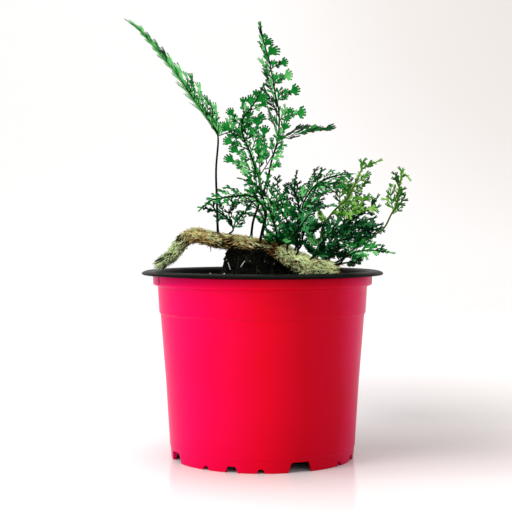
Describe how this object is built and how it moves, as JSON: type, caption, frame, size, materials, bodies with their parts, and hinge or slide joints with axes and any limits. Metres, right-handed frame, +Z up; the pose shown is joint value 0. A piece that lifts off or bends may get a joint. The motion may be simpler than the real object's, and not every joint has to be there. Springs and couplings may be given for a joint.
{
  "type": "potted rabbits foot fern",
  "caption": "Rabbits foot fern with a furry creeping rhizome and finely cut fronds, growing in a round red plastic pot with a dark rolled rim.",
  "frame": {"origin": "on the floor under the middle of the plant's bounding box, which is the pot's axis to within half a millimetre", "axes": "+Z up along the pot's axis, -Y towards the picture's camera, +X to its right"},
  "size_m": [0.1588, 0.131, 0.2446],
  "materials": {
    "red_plastic": "semi-gloss moulded red plastic",
    "dark_plastic": "satin dark grey-green plastic",
    "potting_mix": "dark crumbly peat and bark",
    "rhizome_fur": "matte, covered in fine hairs",
    "leaf_green": "leathery leaf with a soft sheen",
    "leaf_dark": "leathery leaf with a soft sheen",
    "leaf_young": "thin young leaf with a soft sheen"
  },
  "bodies": {
    "root": {"pot_outer": "red_plastic", "pot_liner": "dark_plastic", "potting_mix": "potting_mix", "rhizome": "rhizome_fur", "frond_tall_left": "leaf_green", "frond_tall_middle": "leaf_green", "frond_middle": "leaf_green", "frond_low_left_bright": "leaf_green", "frond_sweeping_left": "leaf_green", "frond_low_left_small": "leaf_dark", "frond_centre_right": "leaf_green", "frond_centre_dark": "leaf_dark", "frond_right_yellow": "leaf_young", "frond_far_right": "leaf_young", "frond_low_right": "leaf_green", "frond_rim_right": "leaf_dark", "frond_right_dark_upper": "leaf_dark", "frond_right_dark_middle": "leaf_dark", "frond_right_dark_lower": "leaf_dark", "frond_mid_front": "leaf_green", "frond_mid_front_small": "leaf_dark", "frond_low_front": "leaf_dark", "frond_back_middle": "leaf_dark", "frond_back_right": "leaf_dark", "frond_back_left": "leaf_green"}
  },
  "joints": []
}
